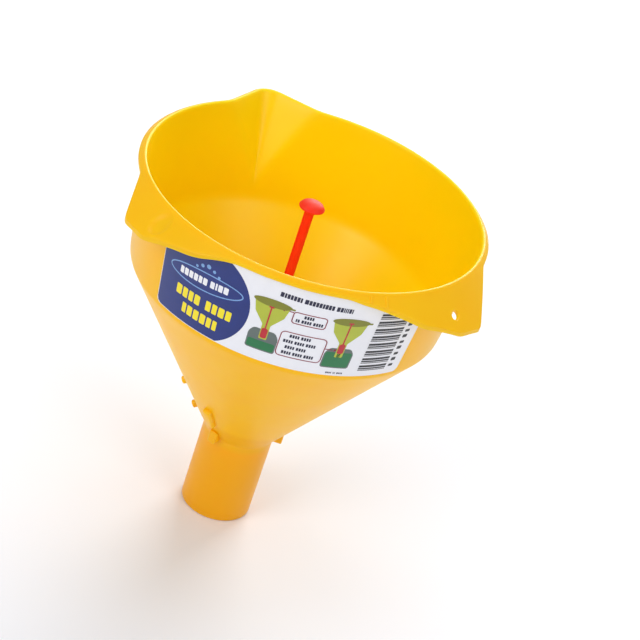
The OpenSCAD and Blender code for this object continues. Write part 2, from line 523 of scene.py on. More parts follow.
@dataclass(frozen=True)
class PrintedInk:
    """Ink on polypropylene film: even colour under a thin gloss varnish.

    Args:
        name: Name of the material.
        colour: Its sRGB colour.
        shade: The colour at the low points of the film's faint ripple, a painted shade that follows the
            ripple.
        ripple_mm: Size of the film's ripple.
    """

    name: str
    colour: str
    shade: str
    ripple_mm: float = 6.0

    def make(self) -> bpy.types.Material:
        """Makes the ink's material.

        Returns:
            The finished material.
        """
        material = bpy.data.materials.new(self.name)
        material.use_nodes = True
        tree = material.node_tree
        shader = tree.nodes["Principled BSDF"]
        at = add_node(tree, "ShaderNodeTexCoord").outputs["Object"]
        ripple = add_node(
            tree, "ShaderNodeTexNoise",
            {"Vector": at, "Scale": per_metre(self.ripple_mm), "Detail": 2.0},
        )
        # Painted shade: the colour drifts to the darker tone along the film's ripple.
        tone = add_node(
            tree, "ShaderNodeMix",
            {"Factor": ripple.outputs["Fac"], 6: linear(self.colour), 7: linear(self.shade)},
            data_type="RGBA",
        )
        tree.links.new(tone.outputs[2], shader.inputs["Base Color"])
        bump = add_node(
            tree, "ShaderNodeBump",
            {"Height": ripple.outputs["Fac"], "Distance": 0.04 * MM, "Strength": 0.4},
        )
        tree.links.new(bump.outputs["Normal"], shader.inputs["Normal"])
        shader.inputs["Roughness"].default_value = 0.36
        shader.inputs["Coat Weight"].default_value = 0.15
        shader.inputs["Coat Roughness"].default_value = 0.2
        return material


class Ink(Enum):
    """Inks of the label, each a colour and the painted shade of its film's ripple."""

    WHITE = ("#F4F4F8", "#EDEDF3")
    BLUE = ("#0C2A7E", "#09236E")
    PALE_BLUE = ("#7FAAE0", "#729ED6")
    NAVY = ("#14143C", "#101034")
    YELLOW = ("#FFEA10", "#F6E00C")
    LIME = ("#B9C23A", "#AEB832")
    OLIVE = ("#85861C", "#7A7C18")
    GREEN = ("#1C7A46", "#176E3E")
    GREY = ("#66726E", "#5C6864")
    RED = ("#C4202C", "#B81A26")
    MAROON = ("#8E1436", "#841030")
    BLACK = ("#121216", "#0E0E12")


class Finishes:
    """The object's materials, each made once, on first use."""

    def __init__(self) -> None:
        """Starts with no material made."""
        self._made: dict[str, bpy.types.Material] = {}

    def _once(self, recipe: MouldedPlastic | NitrileRubber | PrintedInk) -> bpy.types.Material:
        """Makes a recipe's material, or finds it if it was made before.

        Args:
            recipe: The finish.

        Returns:
            The finish's material.
        """
        if recipe.name not in self._made:
            self._made[recipe.name] = recipe.make()
        return self._made[recipe.name]

    def bowl(self) -> bpy.types.Material:
        """Makes the yellow polyethylene of the funnel's moulding.

        Returns:
            Its material.
        """
        return self._once(FloatLitPlastic(
            "polyethylene_yellow_moulded", "#FFBE00", "#FFC206", scatter=0.42, scatter_mm=4.0,
        ))

    def guide(self) -> bpy.types.Material:
        """Returns the plastic of the guide in the neck."""
        return self._once(MouldedPlastic("polyethylene_guide_moulded", "#F7B000", "#FFBC10"))

    def plunger(self) -> bpy.types.Material:
        """Makes the red polypropylene of the plunger.

        Returns:
            Its material.
        """
        return self._once(MouldedPlastic(
            "polypropylene_red_moulded", "#F52A12", "#F03A1C", roughness=0.46, scatter=0.12,
            scatter_mm=1.5, flow_mm=8.0, wave_mm=4.0,
        ))

    def rubber(self) -> bpy.types.Material:
        """Returns the rubber of the valve's seal."""
        return self._once(NitrileRubber())

    def ink(self, ink: Ink) -> bpy.types.Material:
        """Returns the material of one of the label's inks."""
        return self._once(PrintedInk(f"label_ink_{ink.name.lower()}", *ink.value))


def dress(piece: bpy.types.Object, material: bpy.types.Material, body: str) -> None:
    """Gives a piece its material and its body.

    Args:
        piece: The piece.
        material: Its material.
        body: The CAD body that it rides on.
    """
    piece.data.materials.clear()
    piece.data.materials.append(material)
    if "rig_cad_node" not in piece:
        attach(piece, body)
    log.info("%s: %d faces on %s", piece.name, len(piece.data.polygons), body)


# The moulding ------------------------------------------------------------------------------


@dataclass(frozen=True)
class Ear:
    """A corner of the flange that juts out beyond the round rim.

    Args:
        corners: Its plan outline, from inside the rim to inside the rim.
        radii: Rounding of each corner between the two ends.
    """

    corners: tuple[Point, ...]
    radii: tuple[float, ...]

    @cached_property
    def outline(self) -> list[Point]:
        """Rounds the corners of the ear's outline.

        Returns:
            The points of the rounded outline.
        """
        points = [self.corners[0]]
        for i, radius in enumerate(self.radii):
            points += rounded(list(self.corners[i : i + 3]), radius, 6)[1:-1]
        return points + [self.corners[-1]]

    def reach(self, azimuth: float) -> float:
        """Measures how far out the outline lies in a direction.

        Args:
            azimuth: The direction in degrees.

        Returns:
            The distance from the axis, or 0 where the ear isn't.
        """
        ahead = Vector(polar(1, azimuth))
        for start, end in zip(self.outline, self.outline[1:]):
            side = Vector(end) - Vector(start)
            across = ahead.x * side.y - ahead.y * side.x
            if abs(across) < 1e-9:
                continue
            far = (start[0] * side.y - start[1] * side.x) / across
            along = (start[0] * ahead.y - start[1] * ahead.x) / across
            if far > 0 and 0 <= along <= 1:
                return far
        return 0.0


@dataclass
class Moulding:
    """The funnel's one-piece body: bowl, cone, spout, rolled rim, pour lip and ears."""

    rim_z: float
    rim_r: float = 82.5
    crease_r: float = 76.4
    crease_z: float = 135.0
    wall: float = 2.2
    spout_r: float = 17.8
    spout_in_r: float = 15.8
    neck_z: float = 47.0
    neck_fillet: float = 5.0
    crease_fillet: float = 5.0
    bend_fillet: float = 16.0
    throat_r: float = 11.5
    throat_z: float = 45.0
    seat_z: float = 43.0
    seat_foot_z: float = 40.0
    pocket_r: float = 14.0
    pocket_z: float = 49.0
    bead_w: float = 1.45
    bead_h: float = 2.7
    bead_t: float = 1.35
    bead_blend: float = 0.5
    drop: float = 0.6
    tilt: float = 42.0
    sheet_t: float = 2.3
    edge_round: float = 0.5
    ears: tuple[Ear, Ear] = (
        Ear(
            ((-78, -24), (-76.8, -57.5), (-66, -68.5), (-42, -78.4), (-8, -82.9)),
            (8, 14, 40),
        ),
        Ear(
            ((6, -82.9), (34, -78.1), (63, -68.4), (80.5, -56.5), (88.77, -45), (81.5, -8)),
            (40, 25, 14, 4),
        ),
    )
    lip_az: float = 114.5
    lip_depth: float = 46.0
    lip_spread: float = 41.0
    lip_nose: Point = (85.7, 10.7)
    hang_at: Point = (92.0, 325.0)
    hang_r: float = 2.1
    dimple_at: Point = (88.4, 227.0)
    dimple_r: float = 5.0
    dimple_depth: float = 1.0
    around: int = 420
    row_gap: float = 4.0
    sheet_rows: int = 15
    sheet_span: float = 10.0

    def side_r(self, z: float) -> float:
        """Returns the outer radius of the upper wall at a height."""
        return mix(self.crease_r, self.rim_r, (z - self.crease_z) / (self.rim_z - self.crease_z))

    @property
    def cone_slope(self) -> float:
        """Returns how much the cone's radius grows per unit of height."""
        return (self.crease_r - self.spout_r) / (self.crease_z - self.neck_z)

    def cone_r(self, z: float) -> float:
        """Returns the outer radius of the cone at a height."""
        return self.spout_r + (z - self.neck_z) * self.cone_slope

    def shell_r(self, azimuth: float, z: float, inset: float) -> float:
        """Works out the upper wall's radius with the pour lip in it.

        Args:
            azimuth: Direction in degrees.
            z: Height.
            inset: Distance inwards from the wall's outer face.

        Returns:
            The radius.
        """
        plain = self.side_r(z) - inset
        foot_z = self.rim_z - self.lip_depth
        share = (z - foot_z) / self.lip_depth
        off = math.radians(abs((azimuth - self.lip_az + 180) % 360 - 180))
        spread = math.radians(self.lip_spread)
        if share <= 0 or off >= spread:
            return plain
        nose_d, nose_r = self.lip_nose
        foot = self.side_r(foot_z)
        side = mix(foot * math.cos(spread), nose_d * math.cos(spread) + nose_r, share) - inset
        corner_r = max(share * nose_r - inset, 0.8)
        corner_d = (side - corner_r) / math.cos(spread)
        nose = math.atan2(
            corner_r * math.sin(spread), corner_d + corner_r * math.cos(spread)
        )
        if off >= nose:
            lip = side / math.cos(spread - off)
        else:
            across = corner_d * math.sin(off)
            lip = corner_d * math.cos(off) + math.sqrt(corner_r**2 - across**2)
        return soft_max(plain, lip, 1.2 * share)

    def sheet_edge(self, azimuth: float) -> tuple[float, float]:
        """Works out where the flange starts and ends in a direction.

        Args:
            azimuth: Direction in degrees.

        Returns:
            Its inner and outer radius.
        """
        inner = self.shell_r(azimuth, self.rim_z, 0)
        reach = max(ear.reach(azimuth) for ear in self.ears)
        if reach == 0:
            return inner, inner + self.bead_w
        return inner, soft_max(inner + self.bead_w, reach, self.bead_blend)

    def sheet_top(self, radius: float, inner: float) -> float:
        """Returns the height of the flange's top at a radius."""
        return self.rim_z - self.drop - (radius - inner) * math.tan(math.radians(self.tilt))

    def outer_outline(self) -> list[Point]:
        """Draws the outside, from the outlet up to the flange's underside.

        Returns:
            The outline as (radius, height) points.
        """
        under = self.rim_z - self.bead_h - 1
        corners = [(self.spout_r, 0.6), (self.spout_r, self.neck_z)]
        neck = rounded(corners + [(self.crease_r, self.crease_z)], self.neck_fillet, 8)
        crease = rounded(
            [neck[-2], (self.crease_r, self.crease_z), (self.side_r(under), under)],
            self.crease_fillet, 6,
        )
        spout = run(neck[0], neck[1], self.row_gap)
        cone = run(neck[-2], crease[1], self.row_gap)
        upper = run(crease[-2], crease[-1], self.row_gap)
        return spout + neck[1:-2] + cone + crease[1:-2] + upper + [crease[-1]]

    def sheet_outline(self) -> list[Point]:
        """Draws the flange on a plain stand-in strip, which place() then shapes.

        Returns:
            The outline as (radius, height) points.
        """
        low, high = self.rim_z - 5, self.rim_z - 2
        shares = [mix(0.02, 0.94, i / self.sheet_rows) for i in range(self.sheet_rows + 1)]
        under = [(self.rim_r + self.sheet_span * t, low) for t in shares[::2]]
        edge = [(self.rim_r + self.sheet_span, mix(low, high, t)) for t in (0.06, 0.2, 0.5, 0.8, 0.94)]
        top = [(self.rim_r + self.sheet_span * t, high) for t in reversed(shares)]
        return under + edge + top

    def crown_outline(self) -> list[Point]:
        """Draws the rim's rolled crown, from the flange over to the inner wall.

        Returns:
            The outline as (radius, height) points.
        """
        inner = self.rim_r - self.wall
        middle = ((self.rim_r + inner) / 2, self.rim_z - self.wall / 2)
        return arc(middle, self.wall / 2, 50, 170, 7)

    def inner_outline(self) -> list[Point]:
        """Draws the inside, from below the crown down to the outlet.

        Returns:
            The outline as (radius, height) points.
        """
        gap = self.wall / math.cos(math.atan(self.cone_slope))
        start_z = self.rim_z - 2.5
        corners = [
            (self.side_r(start_z) - self.wall, start_z),
            (self.crease_r - self.wall, self.crease_z),
            (self.cone_r(self.pocket_z) - gap, self.pocket_z),
        ]
        bend = rounded(corners, self.bend_fillet, 8)
        upper = run(bend[0], bend[1], self.row_gap)
        cone = run(bend[-2], bend[-1], self.row_gap)
        seat = rounded([
            bend[-1], (self.pocket_r, self.pocket_z), (self.pocket_r, self.throat_z),
            (self.throat_r, self.throat_z), (self.throat_r, self.seat_z),
            (self.spout_in_r, self.seat_foot_z), (self.spout_in_r, 0.5),
        ], 0.3, 2)
        spout = run(seat[-2], seat[-1], self.row_gap)
        outlet = [(self.spout_in_r + 0.4, 0.0), (self.spout_r - 0.5, 0.0), (self.spout_r - 0.1, 0.2)]
        return upper + bend[1:-2] + cone + seat[:-2] + spout + [seat[-1]] + outlet

    def place(self, co: Vector) -> Vector:
        """Moves a point of the plain spun shell to where the lip and the ears want it.

        Args:
            co: A point of the shell.

        Returns:
            Its final place.
        """
        radius, z = math.hypot(co.x, co.y), co.z
        azimuth = math.degrees(math.atan2(co.y, co.x))
        if radius > self.rim_r + 0.1 and z > self.rim_z - 8:
            return self.place_on_sheet(azimuth, (radius - self.rim_r) / self.sheet_span, z)
        if z > self.crease_z:
            radius = self.shell_r(azimuth, z, self.side_r(z) - radius)
        return Vector((*polar(radius, azimuth), z))

    def place_on_sheet(self, azimuth: float, share: float, z: float) -> Vector:
        """Shapes one point of the flange.

        Args:
            azimuth: Direction in degrees.
            share: How far out it lies, from 0 at the rim to 1 at the edge.
            z: Height on the stand-in strip.

        Returns:
            The point's final place.
        """
        inner, outer = self.sheet_edge(azimuth)
        radius = outer if share > 0.99 else mix(inner, outer - self.edge_round * share, share / 0.94)
        depth = (self.rim_z - 2 - z) / 3
        top = self.sheet_top(radius, inner)
        thick = mix(self.bead_t, self.sheet_t, ease(self.bead_w, 6.0, outer - inner))
        foot = top - mix(thick + 0.4, thick, share)
        place = Vector((*polar(radius, azimuth), mix(top, foot, depth)))
        if depth < 0.5 and share < 0.99:
            place.z += self.dimple_rise(place)
        return place

    def dimple_rise(self, at: Vector) -> float:
        """Works out the height of the round gate mark at a point.

        Args:
            at: The point on the flange.

        Returns:
            How far the mark lifts the surface; it is negative in the hollow.
        """
        centre = Vector(polar(*self.dimple_at))
        away = (at.xy - centre).length / self.dimple_r
        hollow = -self.dimple_depth * (1 - ease(0.55, 0.95, away))
        lip = 0.35 * math.exp(-(((away - 1.05) / 0.16) ** 2))
        return hollow + lip

    def on_sheet(self, radius: float, azimuth: float) -> Matrix:
        """Sets up axes at a point on the flange: X down the slope, Z outwards.

        Args:
            radius: The point's distance from the axis.
            azimuth: Its direction in degrees.

        Returns:
            The axes as a matrix.
        """
        inner = self.sheet_edge(azimuth)[0]
        turn = Matrix.Rotation(math.radians(azimuth), 4, "Z")
        lift = Matrix.Translation((radius, 0, self.sheet_top(radius, inner)))
        return turn @ lift @ Matrix.Rotation(math.radians(self.tilt), 4, "Y")

    def build_shell(self) -> bpy.types.Object:
        """Spins the whole outline and shapes it into the moulding's shell.

        Returns:
            The shell.
        """
        outline = (
            self.outer_outline() + self.sheet_outline()
            + self.crown_outline() + self.inner_outline()
        )
        bm = bmesh.new()
        spin_outline(bm, outline, self.around, closed=True)
        for vert in bm.verts:
            vert.co = self.place(vert.co)
        return finish_mesh(bm, "funnel_moulding")

    def hang_cutter(self) -> bpy.types.Object:
        """Builds the cutter of the hanging hole, flared at both faces.

        Returns:
            The cutter.
        """
        bm = bmesh.new()
        flare = self.hang_r + 0.6
        half = self.sheet_t / 2
        outline = [
            (0, 4), (flare + 1, 4), (flare, 0.1), (self.hang_r, -0.5),
            (self.hang_r, 0.5 - 2 * half), (flare, -2 * half + 0.1), (flare + 1, -7), (0, -7),
        ]
        spin_outline(bm, outline, 48, closed=False)
        bmesh.ops.transform(bm, matrix=self.on_sheet(*self.hang_at), verts=bm.verts)
        return finish_mesh(bm, "hang_cutter")


@dataclass
class MouldingDetails:
    """Small raised features of the moulding: neck lugs, a rib, pegs and two flange ribs."""

    moulding: Moulding
    lug_count: int = 3
    lug_w: float = 4.4
    lug_proud: float = 4.2
    lug_z: float = 45.6
    rib_az: float = 240.0
    rib_z: Point = (58.5, 70.5)
    rib_proud: float = 2.2
    peg_az: float = 190.0
    peg_z: Point = (55.5, 68.0)
    peg_r: float = 2.0
    peg_proud: float = 2.8
    flange_ribs: tuple[float, ...] = (296.0, 301.0)

    def radial(self, azimuth: float, radius: float, z: float, lean: float = 0.0) -> Matrix:
        """Returns a frame at a place round the axis.

        Args:
            azimuth: Direction in degrees.
            radius: Distance from the axis.
            z: Height.
            lean: Turn about the tangent, in radians.
        """
        turn = Matrix.Rotation(math.radians(azimuth), 4, "Z")
        return turn @ Matrix.Translation((radius, 0, z)) @ Matrix.Rotation(lean, 4, "Y")

    def add_lugs(self, bm: bmesh.types.BMesh) -> None:
        """Adds the gusset lugs under the cone.

        Args:
            bm: The mesh that receives them.
        """
        body = self.moulding
        top = body.neck_z + (self.lug_proud - 0.6) / body.cone_slope
        size = Vector((self.lug_proud + 2, self.lug_w, top - self.lug_z))
        radius = body.spout_r - 1.5 + size.x / 2
        for i in range(self.lug_count):
            at = self.radial(360 * i / self.lug_count, radius, self.lug_z + size.z / 2)
            add_bar(bm, size, at, 0.7)

    def add_cone_rib(self, bm: bmesh.types.BMesh) -> None:
        """Adds the rib that lies up the cone.

        Args:
            bm: The mesh that receives it.
        """
        body = self.moulding
        lean = math.atan(body.cone_slope)
        long = (self.rib_z[1] - self.rib_z[0]) / math.cos(lean)
        middle = sum(self.rib_z) / 2
        at = self.radial(self.rib_az, body.cone_r(middle), middle, lean)
        add_bar(bm, Vector((2 * self.rib_proud, self.lug_w, long)), at, 0.8)

    def add_pegs(self, bm: bmesh.types.BMesh) -> None:
        """Adds the short pegs that stand square to the cone.

        Args:
            bm: The mesh that receives them.
        """
        body = self.moulding
        lean = math.pi / 2 + math.atan(body.cone_slope)
        tip = self.peg_proud
        outline = [(0, -1.2), (self.peg_r, -1.2)] + arc((self.peg_r - 0.6, tip - 0.6), 0.6, 0, 90, 4)
        for z in self.peg_z:
            old = set(bm.verts)
            spin_outline(bm, outline + [(0, tip)], 32, closed=False)
            new = [v for v in bm.verts if v not in old]
            at = self.radial(self.peg_az, body.cone_r(z), z, lean)
            bmesh.ops.transform(bm, matrix=at, verts=new)

    def add_slope_ribs(self, bm: bmesh.types.BMesh) -> None:
        """Adds the two short ribs that run down the flange's slope.

        Args:
            bm: The mesh that receives them.
        """
        body = self.moulding
        for azimuth in self.flange_ribs:
            inner, outer = body.sheet_edge(azimuth)
            slope = body.on_sheet((inner + outer) / 2, azimuth)
            long = (outer - inner) / math.cos(math.radians(body.tilt))
            add_bar(bm, Vector((long - 1.2, 0.9, 0.8)), slope, 0.25)

    def build(self) -> list[bpy.types.Object]:
        """Builds the details as closed tools, none of which crosses itself.

        Returns:
            The tools.
        """
        tools = []
        for add in (
            self.add_lugs, self.add_cone_rib, self.add_pegs, self.add_slope_ribs,
        ):
            bm = bmesh.new()
            add(bm)
            tools.append(finish_mesh(bm, "moulding_detail"))
        return tools


@dataclass
class FunnelBody:
    """The yellow moulding as a sub-assembly: its shell, its details and its finish."""

    moulding: Moulding
    finishes: Finishes

    def build(self) -> bpy.types.Object:
        """Builds and dresses the moulding.

        Returns:
            The finished piece.
        """
        shell = self.moulding.build_shell()
        for detail in MouldingDetails(self.moulding).build():
            combine(shell, detail, "UNION")
        combine(shell, self.moulding.hang_cutter(), "DIFFERENCE")
        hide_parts("funnel_body")
        dress(shell, self.finishes.bowl(), "funnel")
        return shell


# The label ---------------------------------------------------------------------------------


@dataclass
class Artwork:
    """Flat shapes of one ink, drawn on the label's plane: X along it, Y up, from its middle.

    Args:
        ink: The ink.
        layer: How many inks lie below it.
        bm: The flat mesh that the shapes go into.
    """

    ink: Ink
    layer: int
    bm: bmesh.types.BMesh = field(default_factory=bmesh.new)

    def shape(self, points: list[Point], corner: float = 0.0) -> bmesh.types.BMFace:
        """Adds a filled outline.

        Args:
            points: Its corners, anticlockwise.
            corner: Radius of its corners.

        Returns:
            The new face.
        """
        face = self.bm.faces.new([self.bm.verts.new((x, y, 0)) for x, y in points])
        face.normal_update()
        if corner > 0:
            made = bmesh.ops.bevel(
                self.bm, geom=list(face.verts), offset=corner, segments=5, profile=0.5,
                affect="VERTICES", material=-1,
            )
            face = made["faces"][0] if made["faces"] else face
        return face

    def bar(self, x: float, y: float, w: float, h: float, corner: float = 0.0) -> None:
        """Adds a bar, from its lower left corner."""
        self.shape([(x, y), (x + w, y), (x + w, y + h), (x, y + h)], corner)

    def disc(self, x: float, y: float, radius: float) -> None:
        """Adds a disc."""
        self.shape(arc((x, y), radius, 0, 345, 23))

    def frame(self, x: float, y: float, w: float, h: float, corner: float, line: float) -> None:
        """Adds a rounded frame, drawn as a line round a bar.

        Args:
            x: Left side.
            y: Foot.
            w: Width.
            h: Height.
            corner: Radius of its corners.
            line: Width of the line.
        """
        before = set(self.bm.faces)
        self.bar(x, y, w, h, corner)
        face = next(f for f in self.bm.faces if f not in before)
        bmesh.ops.inset_region(
            self.bm, faces=[face], thickness=line, use_even_offset=True, use_boundary=True,
        )
        bmesh.ops.delete(self.bm, geom=[face], context="FACES_ONLY")

    def oval(self, centre: Point, radii: Point, tilt: float) -> bmesh.types.BMFace:
        """Adds a filled ellipse.

        Args:
            centre: Its middle.
            radii: Half its length and half its height.
            tilt: Its turn in degrees.

        Returns:
            The ellipse's face.
        """
        turn = Matrix.Rotation(math.radians(tilt), 2)
        points = [turn @ Vector((x * radii[0], y * radii[1])) for x, y in arc((0, 0), 1, 0, 352.5, 47)]
        return self.shape([(centre[0] + p.x, centre[1] + p.y) for p in points])

    def ring(self, centre: Point, radii: Point, tilt: float, line: float) -> None:
        """Adds an elliptical ring of a line's width.

        Args:
            centre: Its middle.
            radii: Half its length and half its height.
            tilt: Its turn in degrees.
            line: Width of the line.
        """
        face = self.oval(centre, radii, tilt)
        bmesh.ops.inset_region(
            self.bm, faces=[face], thickness=line, use_even_offset=True, use_boundary=True,
        )
        bmesh.ops.delete(self.bm, geom=[face], context="FACES_ONLY")

    def row(
        self, x: float, y: float, widths: list[float], h: float, gap: float, rise: float = 0.0
    ) -> None:
        """Adds a row of blocks that stands for a line of print.

        Args:
            x: Left end.
            y: Foot of the row at its left end.
            widths: Width of each block; a negative one is a space.
            h: Height of the blocks.
            gap: Space between two blocks.
            rise: How much the row climbs for each unit along it.
        """
        start = x
        for width in widths:
            if width > 0:
                self.bar(x, y + (x - start) * rise, width, h, min(width, h) * 0.2)
            x += abs(width) + gap


@dataclass
class Label:
    """The printed film on the front of the upper wall, with generic artwork."""

    moulding: Moulding
    finishes: Finishes
    azimuths: Point = (226.2, 320.4)
    heights: Point = (137.2, 182.3)
    gap: float = 0.02
    film_t: float = 0.12
    ink_t: float = 0.02
    strip: float = 1.6
    flat_r: float = 80.5

    @property
    def height(self) -> float:
        """Returns the label's height."""
        return self.heights[1] - self.heights[0]

    @property
    def half_w(self) -> float:
        """Returns half the label's width along the wall."""
        return math.radians(self.azimuths[1] - self.azimuths[0]) * self.flat_r / 2

    def wrap(self, art: Artwork, lift: float, thick: float) -> None:
        """Cuts flat artwork into strips, gives it thickness and bends it round the wall.

        Args:
            art: The artwork, drawn flat.
            lift: Its height above the wall.
            thick: Its thickness.
        """
        bm = art.bm
        steps = math.ceil(2 * self.half_w / self.strip)
        for i in range(1, steps):
            x = -self.half_w + 2 * self.half_w * i / steps
            bmesh.ops.bisect_plane(
                bm, geom=bm.verts[:] + bm.edges[:] + bm.faces[:], dist=1e-5,
                plane_co=(x, 0, 0), plane_no=(1, 0, 0),
            )
        raised = bmesh.ops.extrude_face_region(bm, geom=bm.faces[:], use_keep_orig=True)
        new = [g for g in raised["geom"] if isinstance(g, bmesh.types.BMVert)]
        bmesh.ops.translate(bm, vec=(0, 0, thick), verts=new)
        middle = sum(self.azimuths) / 2
        foot = self.heights[0]
        for vert in bm.verts:
            z = foot + vert.co.y
            radius = self.moulding.side_r(z) + lift + vert.co.z
            azimuth = middle + math.degrees(vert.co.x / self.flat_r)
            vert.co = (*polar(radius, azimuth), z)

    def film(self) -> Artwork:
        """Builds the white film.

        Returns:
            The film.
        """
        art = Artwork(Ink.WHITE, 0)
        art.bar(-self.half_w, 0, 2 * self.half_w, self.height, 2.5)
        return art

    def panel(self) -> Artwork:
        """Draws the blue panel at the left, with its bulging right side.

        Returns:
            The artwork.
        """
        art = Artwork(Ink.BLUE, 1)
        high, left = self.height - 0.3, -self.half_w + 0.3
        round_at, radius = (-41.0, 21.7), 24.8
        first = math.degrees(math.asin((0.3 - round_at[1]) / radius))
        last = math.degrees(math.asin((high - round_at[1]) / radius))
        curve = arc(round_at, radius, first, last, 28)
        art.shape([(left + 2.5, 0.3), *curve, (left, high), (left, 2.8), (left + 0.7, 1.0)])
        return art

    def badge(self) -> list[Artwork]:
        """Draws a plain badge, a tilted ring with drops, and the block lines under it.

        Returns:
            The artwork of each ink.
        """
        pale, white, yellow = (Artwork(ink, 2) for ink in (Ink.PALE_BLUE, Ink.WHITE, Ink.YELLOW))
        pale.ring((-40.6, 27.0), (20.3, 5.0), 6.0, 0.55)
        for x, y, size in ((-45.6, 32.6, 0.7), (-42.8, 34.4, 0.9), (-39.6, 35.6, 1.1),
                           (-36.4, 34.6, 0.8), (-33.6, 33.0, 0.7)):
            pale.disc(x, y, size)
        word = [2.0, 2.2, 2.2, 2.2, 1.9, 2.2]
        white.row(-54.2, 24.0, word + [-0.6] + [2.2, 0.9, 2.2, 2.3], 3.6, 0.55, 0.105)
        yellow.row(-54.4, 12.8, [3.2, 2.8, 2.6, 3.0, -1.8, 2.7, 2.5, 3.0, 2.7], 5.2, 0.8, 0.03)
        yellow.row(-49.2, 5.2, [2.3, 2.9, 3.0, 3.0, 2.4, 2.2], 5.2, 0.8, 0.0)
        return [pale, white, yellow]

    def print_lines(self) -> Artwork:
        """Draws the dark lines of print as rows of blocks.

        Returns:
            The artwork.
        """
        art = Artwork(Ink.NAVY, 2)
        first = [1.6, 0.9, 1.2, 1.1, 1.2, 1.2, 0.8]
        middle = [1.7, 1.2, 1.2, 1.2, 1.2, 0.9, 1.2, 1.2, 1.1]
        end = [1.4, 1.2, 0.5, 0.5, 0.5, 1.1, 0.5]
        art.row(-5.6, 37.6, first + [-0.5] + middle + [-0.5] + end, 2.5, 0.3, -0.03)
        word, gap = [1.0, 0.9, 0.8, 0.8], 0.3
        art.row(7.4, 29.2, word, 1.7, gap)
        art.row(4.2, 26.6, [0.6, 0.8, -0.3] + word + [-0.3] + word, 1.7, gap)
        for x, y, words in ((4.0, 17.4, 2), (1.8, 14.2, 3), (3.4, 11.0, 2), (2.6, 7.8, 3)):
            art.row(x, y, ((word + [-0.3]) * words)[:-1], 1.7, gap)
        art.row(26.0, 1.2, [0.6, 0.5, 0.5, 0.4, -0.4, 0.3, 0.4, -0.4, 0.7, 0.5, 0.4, 0.5], 0.9, 0.25)
        return art

    def boxes(self) -> Artwork:
        """Draws the two frames round the print, and the pointers at their sides.

        Returns:
            The artwork.
        """
        art = Artwork(Ink.MAROON, 3)
        art.frame(2.3, 25.4, 15.6, 6.6, 1.6, 0.45)
        art.frame(-0.2, 6.2, 21.6, 14.2, 2.2, 0.45)
        for x, y, long in ((-1.8, 31.0, 4.2), (21.4, 14.8, 3.6)):
            art.bar(x, y, long, 0.45)
        art.shape([(-3.6, 31.2), (-1.6, 30.4), (-1.6, 32.0)])
        art.shape([(25.6, 14.2), (27.6, 15.0), (25.6, 15.8)])
        return art

    def pictures(self) -> list[Artwork]:
        """Draws the two small pictures: a funnel in a can, its float down and then up.

        Returns:
            The artwork of each ink.
        """
        lime, grey = Artwork(Ink.LIME, 3), Artwork(Ink.GREY, 2)
        green, red, olive = Artwork(Ink.GREEN, 3), Artwork(Ink.RED, 5), Artwork(Ink.OLIVE, 4)
        for x, y, level, risen in ((-7.4, 5.6, 4.6, 0.0), (28.8, 4.6, 8.6, 1.6)):
            grey.shape([(x - 7, y), (x + 7, y), (x + 7, y + 8.6), (x + 5, y + 11.6),
                        (x - 5, y + 11.6), (x - 7, y + 8.6)], 1.2)
            green.bar(x - 6.4, y + 0.6, 12.8, level, 1.0)
            lime.shape([(x - 1.9, y + 6.4), (x + 1.9, y + 6.4), (x + 1.9, y + 14.6),
                        (x + 6.6, y + 20.6), (x + 8.2, y + 27.6), (x - 8.2, y + 27.6),
                        (x - 6.6, y + 20.6), (x - 1.9, y + 14.6)], 0.5)
            olive.oval((x, y + 27.0), (8.8, 2.1), 0.0)
            olive.bar(x + 7.6, y + 26.4, 2.6, 0.9, 0.3)
            red.bar(x - 0.35, y + 12.0 + risen, 0.7, 13.0, 0.1)
            red.bar(x - 1.2, y + 24.4 + risen, 2.4, 0.8, 0.3)
            red.bar(x - 1.5, y + 7.0 + risen, 3.0, 5.6, 1.0)
        return [grey, green, lime, olive, red]

    def stripes(self) -> Artwork:
        """Draws the block of black stripes at the right, with a column of marks beside it.

        Returns:
            The artwork.
        """
        art = Artwork(Ink.BLACK, 2)
        unit, y, i = 0.4, 3.4, 0
        while y < 38.0:
            bar = unit * (1 + (3 * i * i + i) % 3)
            art.bar(41.6, y, 15.4, bar)
            y += bar + unit * (1 + (5 * i + i * i) % 3)
            i += 1
        art.bar(41.6, y, 15.4, unit)
        for i in range(10):
            art.bar(58.6, 4.4 + 3.5 * i, 2.6, 1.5 + 0.4 * (i % 2), 0.4)
        return art

    def build(self) -> bpy.types.Object:
        """Builds and dresses the film and its inks.

        Returns:
            The film.
        """
        film = self.film()
        self.wrap(film, self.gap, self.film_t)
        piece = finish_mesh(film.bm, "label_film")
        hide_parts("label")
        dress(piece, self.finishes.ink(Ink.WHITE), "funnel")
        artwork = [
            self.panel(), *self.badge(), self.print_lines(), self.boxes(), *self.pictures(),
            self.stripes(),
        ]
        for number, art in enumerate(artwork):
            lift = self.gap + self.film_t + art.layer * self.ink_t
            self.wrap(art, lift, self.ink_t)
            inked = finish_mesh(art.bm, f"label_print_{art.ink.name.lower()}_{number}")
            dress(inked, self.finishes.ink(art.ink), "funnel")
        return piece


# The plunger and its guide -----------------------------------------------------------------


